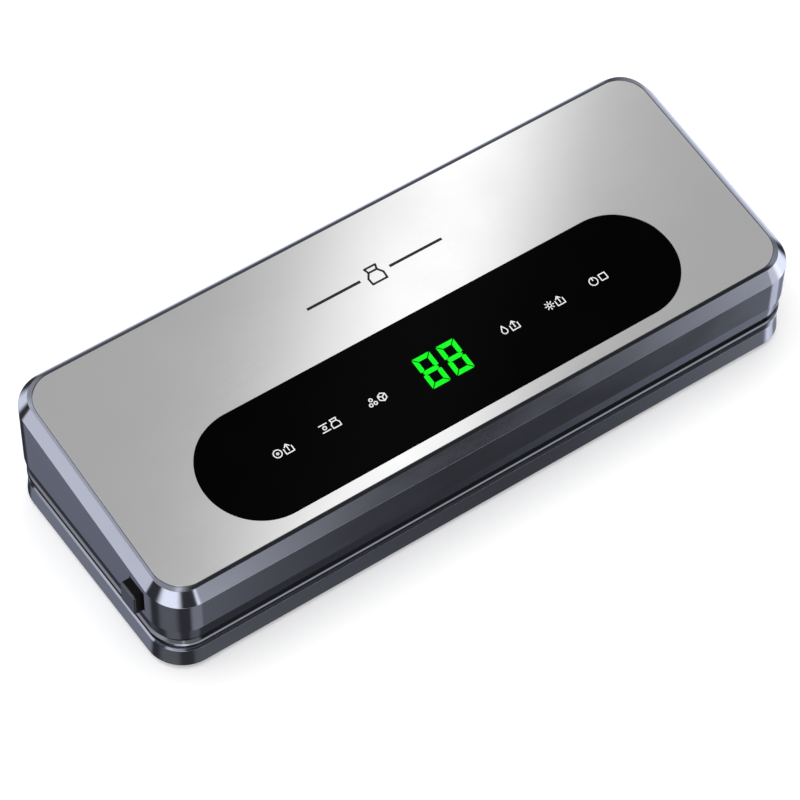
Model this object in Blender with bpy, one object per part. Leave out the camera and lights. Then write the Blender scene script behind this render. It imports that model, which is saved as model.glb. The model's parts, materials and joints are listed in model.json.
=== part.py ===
"""Countertop vacuum sealer: a hinged wedge-shaped lid with pump and controls over a low base.

The base lies on its feet at z = 0 and the front faces -Y. Places are written in millimetres from the
middle of the body, multiplied by MM where a mesh is made, and main() then moves everything sideways so
that the origin is under the middle of the whole machine, with its one button on the left.
"""

import math

import bmesh
import bpy
from mathutils import Matrix, Vector

MM = 0.001

# Driving dimensions of the outer body
WIDTH = 370.0
DEPTH = 141.6
CORNER_RADIUS = 19.3
CORNER_STEPS = 10
ROUND_STEPS = 20
TILT = math.radians(7.74)
GAP = 0.3

# Heights of the base
FOOT_HEIGHT = 2.5
FLOOR_THICKNESS = 2.0
LEDGE_Z = 14.5
DECK_TOP = 17.0
RIM_TOP = 22.9
PLATEAU_TOP = 19.5
BAG_SLOT_Z = 19.6
TROUGH_FLOOR = 6.5

# Heights of the lid
LID_EDGE_Z = 23.45
TAPER_Z = 31.2
CHAMFER_Z = 59.5
TOP_Z = 66.1
LINER_BOTTOM = 25.7
LINER_TOP = 29.7
DOME_TOP = 34.0

# Lid frame section, as insets from the outer face
TAPER_INSET = 1.0
CHAMFER_INSET = 5.0
WALL = 2.6
LIP_INSET = 6.1
LIP_RADIUS = 15.3
SHELF_INSET = 9.5
PLATE_THICKNESS = 1.2

# Control panel, in the plane of the top plate: u to the right, v up the slope, n out of the plate
GLASS_U = -0.7
GLASS_V = -27.4
GLASS_RADIUS = 30.35
GLASS_HALF_STRAIGHT = 104.75
GLASS_THICKNESS = 3.0
KEY_OFFSETS = (-92.0, -65.5, -38.5, 38.5, 65.5, 92.0)

# Vacuum chamber: the gaskets' centreline and the sealing bar
CHAMBER_Y = -28.0
GASKET_HALF_X = 148.0
GASKET_HALF_Y = 19.0
GASKET_RADIUS = 8.0
GASKET_WIDTH = 6.0
GASKET_MEET_Z = 23.55
SEAL_Y = -60.5
SEAL_HALF_X = 150.0
SEAL_WIDTH = 7.0

# Hinge
HINGE_Y = 67.8
HINGE_Z = 22.2
KNUCKLE_RADIUS = 2.8
KNUCKLE_X = (116.3, 123.7)
EARS_X = ((111.7, 116.0), (124.0, 128.3))
HINGE_NOTCH_X = (111.2, 128.8)
PIN_RADIUS = 1.4
PIN_HOLE_RADIUS = 1.75

# Latch button, in the left side
BUTTON_Y = -44.65
BUTTON_Z = 42.15
BUTTON_LENGTH = 11.7
BUTTON_HEIGHT = 13.4
BUTTON_REACH = 5.2
SPRING_Z = 39.0

# Fasteners and feet
CASE_SCREW_X = 120.0
CASE_SCREW_Y = 50.0
LINER_SCREW_X = 173.5
LINER_SCREW_Y = 59.3
FOOT_X = 158.0
FOOT_Y = 50.0

# Pump, valve, switch and inlet
MOTOR_Y = 38.0
MOTOR_Z = 46.3
MOTOR_RADIUS = 14.0
HOSE_X = -129.2
NOZZLE_Z = 42.0
VALVE_X = 60.0
SWITCH_X = 160.0
SWITCH_Y = -23.0
INLET_X = 150.0
INLET_Z = 42.0

PARTS = "vacuum_sealer"
CUTTERS = "cutters"

# Colour, roughness and metallic value of each material
FINISHES = {
    "gunmetal": ((0.13, 0.14, 0.17), 0.25, 0.8),
    "brushed_steel": ((0.62, 0.62, 0.61), 0.3, 1.0),
    "black_glass": ((0.004, 0.004, 0.005), 0.05, 0.0),
    "bright_trim": ((0.04, 0.04, 0.045), 0.1, 0.9),
    "black_plastic": ((0.015, 0.015, 0.016), 0.45, 0.0),
    "grey_plastic": ((0.10, 0.10, 0.11), 0.5, 0.0),
    "foam": ((0.03, 0.03, 0.032), 0.9, 0.0),
    "silicone": ((0.35, 0.06, 0.05), 0.6, 0.0),
    "rubber": ((0.02, 0.02, 0.02), 0.8, 0.0),
    "steel": ((0.55, 0.55, 0.56), 0.3, 1.0),
    "nichrome": ((0.42, 0.40, 0.38), 0.4, 1.0),
    "ptfe": ((0.45, 0.33, 0.20), 0.55, 0.0),
    "green_board": ((0.02, 0.16, 0.07), 0.5, 0.0),
    "green_digits": ((0.05, 0.9, 0.12), 0.4, 0.0),
    "copper": ((0.72, 0.35, 0.18), 0.35, 1.0),
    "brass": ((0.70, 0.52, 0.22), 0.3, 1.0),
    "clear_hose": ((0.70, 0.72, 0.72), 0.35, 0.0),
}


# ---------------------------------------------------------------- scene set-up


def clear_scene():
    for obj in list(bpy.data.objects):
        bpy.data.objects.remove(obj, do_unlink=True)


def collection(name):
    made = bpy.data.collections.get(name)
    if made is None:
        made = bpy.data.collections.new(name)
        bpy.context.scene.collection.children.link(made)
    return made


def material(name):
    made = bpy.data.materials.get(name)
    if made is None:
        colour, roughness, metallic = FINISHES[name]
        made = bpy.data.materials.new(name)
        made.use_nodes = True
        shader = made.node_tree.nodes["Principled BSDF"]
        shader.inputs["Base Color"].default_value = (*colour, 1.0)
        shader.inputs["Roughness"].default_value = roughness
        shader.inputs["Metallic"].default_value = metallic
    return made


def axis_empty(name, location, parent=None):
    """An empty on a joint's axis, which the pieces that move on it are parented to."""
    empty = bpy.data.objects.new(name, None)
    empty.empty_display_size = 10 * MM
    collection(PARTS).objects.link(empty)
    empty.location = Vector(location) * MM
    if parent is not None:
        empty.parent = parent
        empty.matrix_parent_inverse = Matrix.Translation(parent["axis_point"]).inverted()
    empty["axis_point"] = Vector(location) * MM
    return empty


def finish_part(name, shape, finish, parent=None, sharp_degrees=35.0):
    """Name a shape as a part, give it its material and parent it without moving it."""
    shape.name = name
    shape.data.name = name
    shape.data.materials.clear()
    shape.data.materials.append(material(finish))
    collection(PARTS).objects.link(shape)
    if parent is not None:
        shape.parent = parent
        shape.matrix_parent_inverse = Matrix.Translation(parent["axis_point"]).inverted()
    shape.data.shade_smooth()
    shape.data.set_sharp_from_angle(angle=math.radians(sharp_degrees))
    return shape


# ---------------------------------------------------------------- shapes


def object_from(bm, name="shape"):
    bmesh.ops.recalc_face_normals(bm, faces=bm.faces)
    mesh = bpy.data.meshes.new(name)
    bm.to_mesh(mesh)
    bm.free()
    return bpy.data.objects.new(name, mesh)


def box(low, high):
    """A box between two corners."""
    low, high = Vector(low) * MM, Vector(high) * MM
    bm = bmesh.new()
    bmesh.ops.create_cube(bm, size=1.0)
    bmesh.ops.scale(bm, vec=high - low, verts=bm.verts)
    bmesh.ops.translate(bm, vec=(low + high) / 2, verts=bm.verts)
    return object_from(bm)


def rod(start, end, radius, steps=ROUND_STEPS):
    """A cylinder between two points."""
    start, end = Vector(start) * MM, Vector(end) * MM
    along = end - start
    turn = Vector((0, 0, 1)).rotation_difference(along).to_matrix().to_4x4()
    bm = bmesh.new()
    bmesh.ops.create_cone(
        bm,
        cap_ends=True,
        segments=steps,
        radius1=radius * MM,
        radius2=radius * MM,
        depth=along.length,
        matrix=Matrix.Translation((start + end) / 2) @ turn,
    )
    return object_from(bm)


def slope_height(level):
    """Height of the sloping plane that is at this level over the body's middle."""
    return lambda y: level + math.tan(TILT) * y


def rounded_outline(half_x, half_y, radius, steps=CORNER_STEPS, centre=(0.0, 0.0)):
    """Points of a rounded rectangle, anticlockwise from its right side."""
    points = []
    for corner in range(4):
        sign_x = (1, -1, -1, 1)[corner]
        sign_y = (1, 1, -1, -1)[corner]
        for step in range(steps + 1):
            angle = math.pi / 2 * (corner + step / steps)
            x = centre[0] + sign_x * (half_x - radius) + radius * math.cos(angle)
            y = centre[1] + sign_y * (half_y - radius) + radius * math.sin(angle)
            points.append((x, y))
    return points


def body_loop(inset, height, radius=None):
    """The body's outline, this far inside its outer face, at a height or on a sloping plane."""
    if radius is None:
        radius = CORNER_RADIUS - inset
    outline = rounded_outline(WIDTH / 2 - inset, DEPTH / 2 - inset, radius)
    if callable(height):
        return [(x, y, height(y)) for x, y in outline]
    return [(x, y, height) for x, y in outline]


def stadium_loop(radius, level, steps=16):
    """The glass's stadium outline, at a level of the panel plane."""
    outline = rounded_outline(
        GLASS_HALF_STRAIGHT + radius, radius, radius - 0.001, steps, (GLASS_U, GLASS_V)
    )
    return [(x, y, level) for x, y in outline]


def gasket_loop(offset, height):
    outline = rounded_outline(
        GASKET_HALF_X + offset,
        GASKET_HALF_Y + offset,
        GASKET_RADIUS + offset,
        6,
        (0.0, CHAMBER_Y),
    )
    return [(x, y, height) for x, y in outline]


def loft(loops, ring=False):
    """A skin through loops of equally many points: capped at both ends, or closed into a ring."""
    bm = bmesh.new()
    rows = [[bm.verts.new(Vector(point) * MM) for point in loop] for loop in loops]
    count = len(rows[0])
    following = rows[1:] + rows[:1] if ring else rows[1:]
    for lower, upper in zip(rows, following):
        for i in range(count):
            j = (i + 1) % count
            bm.faces.new((lower[i], lower[j], upper[j], upper[i]))
    if not ring:
        bm.faces.new(reversed(rows[0]))
        bm.faces.new(rows[-1])
    return object_from(bm)


def rounded_block(low, high, radius, steps=4):
    """An upright block with rounded corners between two corner points."""
    half_x, half_y = (high[0] - low[0]) / 2, (high[1] - low[1]) / 2
    centre = ((high[0] + low[0]) / 2, (high[1] + low[1]) / 2)
    outline = rounded_outline(half_x, half_y, radius, steps, centre)
    return loft([[(x, y, z) for x, y in outline] for z in (low[2], high[2])])


def bezier_points(ends, count):
    """Points along one cubic Bezier curve."""
    a, b, c, d = (Vector(point) for point in ends)
    points = []
    for i in range(count):
        t = i / (count - 1)
        s = 1 - t
        points.append(a * s**3 + b * 3 * s * s * t + c * 3 * s * t * t + d * t**3)
    return points


def wire(points, radius):
    """A round wire or hose along points, made a mesh."""
    curve = bpy.data.curves.new("wire", "CURVE")
    curve.dimensions = "3D"
    curve.bevel_depth = radius * MM
    curve.bevel_resolution = 2
    curve.use_fill_caps = True
    spline = curve.splines.new("POLY")
    spline.points.add(len(points) - 1)
    for point, place in zip(spline.points, points):
        point.co = (*(Vector(place) * MM), 1.0)
    source = bpy.data.objects.new("wire", curve)
    bpy.context.scene.collection.objects.link(source)
    evaluated = source.evaluated_get(bpy.context.evaluated_depsgraph_get())
    mesh = bpy.data.meshes.new_from_object(evaluated)
    bpy.data.objects.remove(source, do_unlink=True)
    bm = bmesh.new()
    bm.from_mesh(mesh)
    bmesh.ops.remove_doubles(bm, verts=bm.verts, dist=0.001 * MM)
    return object_from(bm)


# ---------------------------------------------------------------- Boolean steps


def add_boolean(shape, other, operation):
    other.name = "cutter"
    other.hide_render = True
    other.display_type = "WIRE"
    collection(CUTTERS).objects.link(other)
    step = shape.modifiers.new(operation.lower(), "BOOLEAN")
    step.operation = operation
    step.solver = "EXACT"
    step.object = other


def join(shape, *others):
    for other in others:
        add_boolean(shape, other, "UNION")
    return shape


def cut(shape, *others):
    for other in others:
        add_boolean(shape, other, "DIFFERENCE")
    return shape


def corners(half_x, half_y):
    """Names and places of four things, one near each corner."""
    return [
        ("front_left", -half_x, -half_y),
        ("front_right", half_x, -half_y),
        ("rear_left", -half_x, half_y),
        ("rear_right", half_x, half_y),
    ]


SIDES = (("left", -1), ("right", 1))


def side_box(side, inner_x, outer_x, y_range, z_range):
    """A box on one side of the body: its x limits count outwards from the middle."""
    x_low, x_high = sorted((side * inner_x, side * outer_x))
    return box((x_low, y_range[0], z_range[0]), (x_high, y_range[1], z_range[1]))


# ---------------------------------------------------------------- base


def make_base_shell():
    floor = FOOT_HEIGHT + FLOOR_THICKNESS
    shell = loft(
        [
            body_loop(0.8, FOOT_HEIGHT),
            body_loop(0.0, FOOT_HEIGHT + 0.9),
            body_loop(1.1, LEDGE_Z - 0.5),
            body_loop(1.6, LEDGE_Z),
            body_loop(5.2, LEDGE_Z),
            body_loop(3.2, floor),
        ]
    )
    for _, x, y in corners(CASE_SCREW_X, CASE_SCREW_Y):
        join(shell, rod((x, y, 3.5), (x, y, 7.5), 5.0))
        cut(shell, rod((x, y, 1.0), (x, y, 5.5), 3.6), rod((x, y, 5.0), (x, y, 8.5), PIN_HOLE_RADIUS))
    for _, x, y in corners(FOOT_X, FOOT_Y):
        cut(shell, rod((x, y, 1.0), (x, y, 5.5), 2.35))
    finish_part("base_shell", shell, "gunmetal")


def make_base_trim():
    """A rounded bead on the base's rim, notched at its back for the hinges."""
    section = (
        (3.4, LEDGE_Z + GAP),
        (2.0, LEDGE_Z + GAP),
        (1.4, 15.2),
        (0.85, 16.0),
        (0.6, 17.1),
        (0.6, 18.3),
        (0.85, 19.4),
        (1.4, 20.3),
        (2.2, 20.85),
        (3.4, 21.0),
    )
    trim = loft([body_loop(inset, z) for inset, z in section], ring=True)
    for _, side in SIDES:
        cut(trim, side_box(side, *HINGE_NOTCH_X, (64.0, 72.0), (18.9, 24.0)))
    finish_part("base_trim", trim, "bright_trim")


def hinge_barrel(side, inner_x, outer_x, radius):
    """A cylinder on the hinge axis, on one side of the body."""
    return rod((side * inner_x, HINGE_Y, HINGE_Z), (side * outer_x, HINGE_Y, HINGE_Z), radius)


def make_base_deck():
    """The upper deck: its rim, the trough, a plateau for the gasket and a rib for the strip."""
    deck = loft(
        [
            body_loop(3.7, LEDGE_Z + GAP),
            body_loop(3.7, RIM_TOP),
            body_loop(4.6, RIM_TOP),
            body_loop(4.6, DECK_TOP),
        ]
    )
    cut(deck, box((-160.0, -70.0, BAG_SLOT_Z), (160.0, -64.0, 25.0)))
    for _, side in SIDES:
        cut(deck, side_box(side, *HINGE_NOTCH_X, (65.0, 72.0), (18.9, 25.0)))
    seal_low, seal_high = SEAL_Y - SEAL_WIDTH / 2, SEAL_Y + SEAL_WIDTH / 2
    join(
        deck,
        rounded_block((-153.5, -52.5, 15.5), (153.5, -3.5, PLATEAU_TOP), 8.0),
        rounded_block((-143.5, -43.0, 5.0), (143.5, -13.0, 16.0), 4.0),
        rounded_block((-153.5, seal_low - 1.3, 15.8), (153.5, seal_high + 1.2, 20.5), 1.0),
        rod((SWITCH_X, SWITCH_Y, 16.0), (SWITCH_X, SWITCH_Y, 24.0), 3.0),
    )
    for _, x, y in corners(CASE_SCREW_X, CASE_SCREW_Y):
        join(deck, rod((x, y, 7.8), (x, y, 15.2), 4.0))
    for _, side in SIDES:
        for ear in EARS_X:
            join(
                deck,
                side_box(side, *ear, (62.4, 65.6), (16.0, HINGE_Z + 1.8)),
                side_box(side, *ear, (64.0, HINGE_Y), (HINGE_Z - 2.4, HINGE_Z + 1.8)),
                hinge_barrel(side, *ear, KNUCKLE_RADIUS),
            )
    groove = [
        gasket_loop(-GASKET_WIDTH / 2 - GAP, PLATEAU_TOP - 2.0),
        gasket_loop(GASKET_WIDTH / 2 + GAP, PLATEAU_TOP - 2.0),
        gasket_loop(GASKET_WIDTH / 2 + GAP, PLATEAU_TOP + 2.0),
        gasket_loop(-GASKET_WIDTH / 2 - GAP, PLATEAU_TOP + 2.0),
    ]
    cut(
        deck,
        rounded_block((-142.0, -41.5, TROUGH_FLOOR), (142.0, -14.5, 25.0), 3.0),
        loft(groove, ring=True),
        box(
            (-SEAL_HALF_X - GAP, seal_low - GAP, 16.5),
            (SEAL_HALF_X + GAP, seal_high + GAP, 22.0),
        ),
    )
    for _, x, y in corners(CASE_SCREW_X, CASE_SCREW_Y):
        cut(deck, rod((x, y, 6.0), (x, y, 14.6), PIN_HOLE_RADIUS))
    for _, side in SIDES:
        cut(deck, hinge_barrel(side, 110.0, 130.0, PIN_HOLE_RADIUS))
    finish_part("base_deck", deck, "black_plastic")


def gasket(bottom, top):
    """A foam ring with bevelled edges on the chamber's centreline."""
    half, bevel = GASKET_WIDTH / 2, 0.8
    section = (
        (-half, bottom + bevel),
        (-half + bevel, bottom),
        (half - bevel, bottom),
        (half, bottom + bevel),
        (half, top - bevel),
        (half - bevel, top),
        (-half + bevel, top),
        (-half, top - bevel),
    )
    return loft([gasket_loop(offset, z) for offset, z in section], ring=True)


def make_base_seals():
    finish_part("lower_gasket", gasket(PLATEAU_TOP - 2.0 + GAP, GASKET_MEET_Z - GAP / 2), "foam")
    half = SEAL_WIDTH / 2
    outline = (
        (SEAL_Y - half, 16.8),
        (SEAL_Y + half, 16.8),
        (SEAL_Y + half, 23.6),
        (SEAL_Y + half - 1.2, 24.8),
        (SEAL_Y - half + 1.2, 24.8),
        (SEAL_Y - half, 23.6),
    )
    strip = loft([[(x, y, z) for y, z in outline] for x in (-SEAL_HALF_X, SEAL_HALF_X)])
    finish_part("pressure_strip", strip, "silicone")


def make_feet():
    for name, x, y in corners(FOOT_X, FOOT_Y):
        foot = rod((x, y, 0.0), (x, y, FOOT_HEIGHT - GAP), 7.0)
        join(foot, rod((x, y, 1.0), (x, y, 5.8), 2.0))
        finish_part(f"foot_{name}", foot, "rubber")


def screw(x, y, head_bottom, head_top, tip):
    """A pan-head screw that points up, with a cross recess in its head."""
    body = rod((x, y, head_bottom), (x, y, head_top), 3.1, 16)
    join(body, rod((x, y, head_bottom + 0.5), (x, y, tip), PIN_RADIUS, 12))
    recess_top = head_bottom + 0.9
    cut(
        body,
        box((x - 1.7, y - 0.4, head_bottom - 1.0), (x + 1.7, y + 0.4, recess_top)),
        box((x - 0.4, y - 1.7, head_bottom - 1.0), (x + 0.4, y + 1.7, recess_top)),
    )
    return body


def make_case_screws():
    for name, x, y in corners(CASE_SCREW_X, CASE_SCREW_Y):
        finish_part(f"case_screw_{name}", screw(x, y, 3.0, 5.2, 13.0), "steel")


def make_hinge_pins():
    for name, side in SIDES:
        finish_part(f"hinge_pin_{name}", hinge_barrel(side, 111.6, 128.4, PIN_RADIUS), "steel")


def make_latch_catch():
    """Steel angle with a nose at its top, which the button's hook catches under."""
    y_range = (BUTTON_Y - 4.4, BUTTON_Y + 4.4)
    bottom = DECK_TOP + GAP
    catch = box((-180.1, y_range[0], bottom), (-168.0, y_range[1], bottom + 1.5))
    join(
        catch,
        box((-180.1, y_range[0], bottom + 0.2), (-178.7, y_range[1], 22.5)),
        box((-179.0, y_range[0], 21.2), (-176.3, y_range[1], 22.5)),
    )
    finish_part("latch_catch", catch, "steel")


# ---------------------------------------------------------------- lid housing


def make_lid_frame(lid):
    section = (
        (TAPER_INSET, LID_EDGE_Z),
        (0.0, TAPER_Z),
        (0.0, slope_height(CHAMFER_Z)),
        (CHAMFER_INSET, slope_height(TOP_Z)),
        (LIP_INSET, slope_height(TOP_Z), LIP_RADIUS),
        (LIP_INSET, slope_height(TOP_Z - PLATE_THICKNESS - GAP), LIP_RADIUS),
        (SHELF_INSET, slope_height(TOP_Z - PLATE_THICKNESS - GAP)),
        (SHELF_INSET, slope_height(TOP_Z - 3.0)),
        (WALL, slope_height(CHAMFER_Z - 1.2)),
        (WALL, LID_EDGE_Z),
    )
    frame = loft([body_loop(*line) for line in section], ring=True)
    for _, x, y in corners(LINER_SCREW_X, LINER_SCREW_Y):
        join(frame, rod((x, y, LINER_TOP + GAP), (x, y, 44.0), 6.2))
        cut(frame, rod((x, y, 27.0), (x, y, 42.0), PIN_HOLE_RADIUS))
    play = 0.4
    window_y, window_z = BUTTON_LENGTH / 2 + play, BUTTON_HEIGHT / 2 + play
    window_low = (-188.0, BUTTON_Y - window_y, BUTTON_Z - window_z)
    window_high = (-181.5, BUTTON_Y + window_y, BUTTON_Z + window_z)
    cut(frame, box(window_low, window_high))
    for _, side in SIDES:
        cut(frame, side_box(side, *HINGE_NOTCH_X, (64.0, 75.0), (20.0, 25.6)))
    cut(frame, box((INLET_X - 10.3, 66.0, INLET_Z - 6.3), (INLET_X + 10.3, 75.0, INLET_Z + 6.3)))
    finish_part("lid_frame", frame, "gunmetal", lid, 15.0)


def on_panel(shape):
    """Turn and lift a shape from panel coordinates onto the sloping plane of the top plate."""
    shape.location = (0.0, 0.0, TOP_Z * MM)
    shape.rotation_euler = (TILT, 0.0, 0.0)
    return shape


def make_top_plate(lid):
    inset = LIP_INSET + GAP
    levels = (TOP_Z - PLATE_THICKNESS, TOP_Z)
    plate = loft([body_loop(inset, slope_height(level), LIP_RADIUS - GAP) for level in levels])
    hole = loft([stadium_loop(GLASS_RADIUS + GAP, level) for level in (-5.0, 5.0)])
    cut(plate, on_panel(hole))
    finish_part("top_plate", plate, "brushed_steel", lid)


def make_control_panel(lid):
    glass = loft([stadium_loop(GLASS_RADIUS, level) for level in (-GLASS_THICKNESS, 0.15)])
    finish_part("control_glass", on_panel(glass), "black_glass", lid)

    under_glass = -GLASS_THICKNESS - GAP
    section = (
        (33.5, -1.5),
        (30.9, -1.5),
        (30.9, under_glass),
        (27.5, under_glass),
        (27.5, -11.1),
        (24.5, -11.1),
        (24.5, -12.5),
        (33.5, -12.5),
    )
    carrier = loft([stadium_loop(radius, level, 8) for radius, level in section], ring=True)
    finish_part("panel_carrier", on_panel(carrier), "black_plastic", lid)

    board = loft([stadium_loop(27.2, level, 8) for level in (-10.8, -9.2)])
    finish_part("touch_board", on_panel(board), "green_board", lid)

    display = box((GLASS_U - 14.0, GLASS_V - 10.5, -8.8), (GLASS_U + 14.0, GLASS_V + 10.5, under_glass))
    finish_part("display_module", on_panel(display), "green_digits", lid)

    for number, offset in enumerate(KEY_OFFSETS, 1):
        x = GLASS_U + offset
        pad = rod((x, GLASS_V, -8.9), (x, GLASS_V, under_glass), 4.0, 16)
        finish_part(f"touch_pad_{number}", on_panel(pad), "foam", lid)


def make_lid_liner(lid):
    """The pan under the lid: chamber dome, heater rib, hinge knuckles, spring seat and standoffs."""
    liner = loft([body_loop(WALL + GAP, z) for z in (LINER_BOTTOM, LINER_TOP)])
    seal_low, seal_high = SEAL_Y - SEAL_WIDTH / 2, SEAL_Y + SEAL_WIDTH / 2
    join(
        liner,
        rounded_block((-143.5, -43.0, 27.0), (143.5, -13.0, DOME_TOP), 4.0),
        box((-153.0, seal_low - 1.6, 27.0), (153.0, seal_high + 1.6, 31.5)),
        box((-160.0, BUTTON_Y - 5.2, 28.0), (-157.5, BUTTON_Y + 5.2, 46.0)),
    )
    for _, side in SIDES:
        block_y = (HINGE_Y - KNUCKLE_RADIUS, HINGE_Y + 0.1)
        join(
            liner,
            side_box(side, *KNUCKLE_X, block_y, (HINGE_Z, LINER_BOTTOM + 0.6)),
            hinge_barrel(side, *KNUCKLE_X, KNUCKLE_RADIUS),
        )
    for x in (-38.0, 52.0):
        for y in (18.0, 56.0):
            join(liner, rod((x, y, 28.5), (x, y, 32.7), 2.5, 16))

    half = GASKET_WIDTH / 2 + GAP
    groove = [
        gasket_loop(offset, z)
        for offset, z in ((-half, 24.0), (half, 24.0), (half, 27.8), (-half, 27.8))
    ]
    cut(
        liner,
        rounded_block((-141.5, -41.0, 24.0), (141.5, -15.0, 32.0), 3.0),
        loft(groove, ring=True),
        box(
            (-SEAL_HALF_X - GAP, seal_low - GAP, 24.0),
            (SEAL_HALF_X + GAP, seal_high + GAP, 30.3),
        ),
        rod((HOSE_X, CHAMBER_Y, 31.0), (HOSE_X, CHAMBER_Y, 35.0), 1.5, 16),
        rod((VALVE_X, CHAMBER_Y, 31.0), (VALVE_X, CHAMBER_Y, 35.0), 1.2, 16),
        rod((SWITCH_X, SWITCH_Y, 24.0), (SWITCH_X, SWITCH_Y, 31.0), 2.0, 16),
        box((-184.0, BUTTON_Y - 4.4, 24.0), (-169.3, BUTTON_Y + 4.4, 31.0)),
    )
    for _, x, y in corners(LINER_SCREW_X, LINER_SCREW_Y):
        cut(liner, rod((x, y, 24.0), (x, y, 27.9), 3.6), rod((x, y, 27.0), (x, y, 31.0), PIN_HOLE_RADIUS))
    for _, side in SIDES:
        cut(liner, hinge_barrel(side, 114.0, 126.0, PIN_HOLE_RADIUS))
    finish_part("lid_liner", liner, "black_plastic", lid)


def make_lid_seals(lid):
    finish_part("upper_gasket", gasket(GASKET_MEET_Z + GAP / 2, 27.5), "foam", lid)
    half = SEAL_WIDTH / 2
    carrier = box((-SEAL_HALF_X, SEAL_Y - half, 26.3), (SEAL_HALF_X, SEAL_Y + half, 30.0))
    finish_part("heater_carrier", carrier, "grey_plastic", lid)
    strip = box((-149.0, SEAL_Y - 1.25, 25.7), (149.0, SEAL_Y + 1.25, 26.0))
    finish_part("heating_strip", strip, "nichrome", lid)
    tape = box((-152.0, SEAL_Y - 5.3, 25.1), (152.0, SEAL_Y + 5.3, 25.4))
    finish_part("ptfe_tape", tape, "ptfe", lid)


def make_liner_screws(lid):
    for name, x, y in corners(LINER_SCREW_X, LINER_SCREW_Y):
        finish_part(f"liner_screw_{name}", screw(x, y, 25.9, 27.6, 40.0), "steel", lid)


# ---------------------------------------------------------------- lid contents


def along_motor(x_low, x_high, radius, steps=ROUND_STEPS, lift=0.0):
    return rod((x_low, MOTOR_Y, MOTOR_Z + lift), (x_high, MOTOR_Y, MOTOR_Z + lift), radius, steps)


def make_pump(lid, motor_axis):
    can = along_motor(-95.0, -57.0, MOTOR_RADIUS)
    cut(can, along_motor(-96.0, -58.5, 12.6), along_motor(-60.0, -56.0, 2.2, 16))
    finish_part("motor_can", can, "steel", lid)

    end_cap = along_motor(-98.0, -95.3, MOTOR_RADIUS)
    cut(end_cap, along_motor(-99.0, -94.0, 2.2, 16))
    finish_part("motor_end_cap", end_cap, "black_plastic", lid)

    rotor = along_motor(-110.0, -54.0, PIN_RADIUS, 16)
    join(rotor, along_motor(-90.0, -64.0, 10.0), along_motor(-108.0, -102.0, 5.0, lift=1.5))
    finish_part("motor_rotor", rotor, "copper", motor_axis)

    cradle = box((-86.0, 25.0, LINER_TOP + GAP), (-68.0, 51.0, 42.0))
    cut(cradle, along_motor(-88.0, -66.0, MOTOR_RADIUS + GAP, 32))
    finish_part("motor_cradle", cradle, "black_plastic", lid)

    head = box((-126.0, 22.0, LINER_TOP + GAP), (-98.3, 54.0, 61.0))
    cut(head, along_motor(-112.0, -97.0, 8.0))
    finish_part("pump_head", head, "grey_plastic", lid)

    cover = box((-132.0, 24.0, 33.0), (-126.3, 52.0, 60.0))
    join(cover, rod((HOSE_X, 25.0, NOZZLE_Z), (HOSE_X, 16.0, NOZZLE_Z), 2.2, 16))
    finish_part("pump_cover", cover, "grey_plastic", lid)

    fitting = rod((HOSE_X, CHAMBER_Y, DOME_TOP + GAP), (HOSE_X, CHAMBER_Y, 36.5), 4.0, 16)
    join(fitting, rod((HOSE_X, CHAMBER_Y, 36.0), (HOSE_X, CHAMBER_Y, 39.0), 2.2, 16))
    finish_part("suction_nozzle", fitting, "grey_plastic", lid)

    route = (
        (HOSE_X, 16.0 - 2 * GAP, NOZZLE_Z),
        (HOSE_X, -8.0, NOZZLE_Z),
        (HOSE_X, CHAMBER_Y, 47.0),
        (HOSE_X, CHAMBER_Y, 39.0 + 2 * GAP),
    )
    finish_part("suction_hose", wire(bezier_points(route, 16), 3.0), "clear_hose", lid)


def make_release_valve(lid, valve_axis):
    body = box((VALVE_X - 8.0, CHAMBER_Y - 8.0, DOME_TOP + GAP), (VALVE_X + 8.0, CHAMBER_Y + 8.0, 47.0))
    cut(
        body,
        rod((VALVE_X, CHAMBER_Y, 33.0), (VALVE_X, CHAMBER_Y, 38.6), 3.6),
        rod((VALVE_X, CHAMBER_Y, 38.0), (VALVE_X, CHAMBER_Y, 45.5), 2.4),
    )
    finish_part("release_valve", body, "steel", lid)
    plunger = rod((VALVE_X, CHAMBER_Y, 34.6), (VALVE_X, CHAMBER_Y, 36.4), 3.2)
    join(plunger, rod((VALVE_X, CHAMBER_Y, 36.0), (VALVE_X, CHAMBER_Y, 43.5), 2.0))
    finish_part("valve_plunger", plunger, "brass", valve_axis)


def make_lid_switch(lid, switch_axis):
    x, y = SWITCH_X, SWITCH_Y
    body = box((x - 7.0, y - 3.5, LINER_TOP + GAP), (x + 7.0, y + 3.5, 40.0))
    cut(body, rod((x, y, 29.0), (x, y, 38.0), 1.9, 16))
    finish_part("lid_switch", body, "black_plastic", lid)
    plunger = rod((x, y, 24.3), (x, y, 36.0), 1.2, 16)
    finish_part("switch_plunger", plunger, "grey_plastic", switch_axis)


def make_electronics(lid):
    board = box((-42.0, 14.0, 33.0), (58.0, 60.0, 34.6))
    join(
        board,
        rod((-30.0, 48.0, 34.0), (-30.0, 48.0, 48.0), 5.0, 16),
        box((-12.0, 40.0, 34.0), (6.0, 52.0, 48.0)),
        box((18.0, 22.0, 34.0), (46.0, 26.0, 50.0)),
        box((20.0, 48.0, 34.0), (44.0, 56.0, 42.0)),
    )
    finish_part("power_board", board, "green_board", lid)
    transformer = box((72.0, 30.0, 34.0), (114.0, 50.0, 58.0))
    join(
        transformer,
        box((80.0, 24.0, 36.0), (106.0, 56.0, 56.0)),
        box((68.0, 33.0, LINER_TOP + GAP), (118.0, 47.0, 34.5)),
    )
    finish_part("transformer", transformer, "steel", lid)


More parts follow.
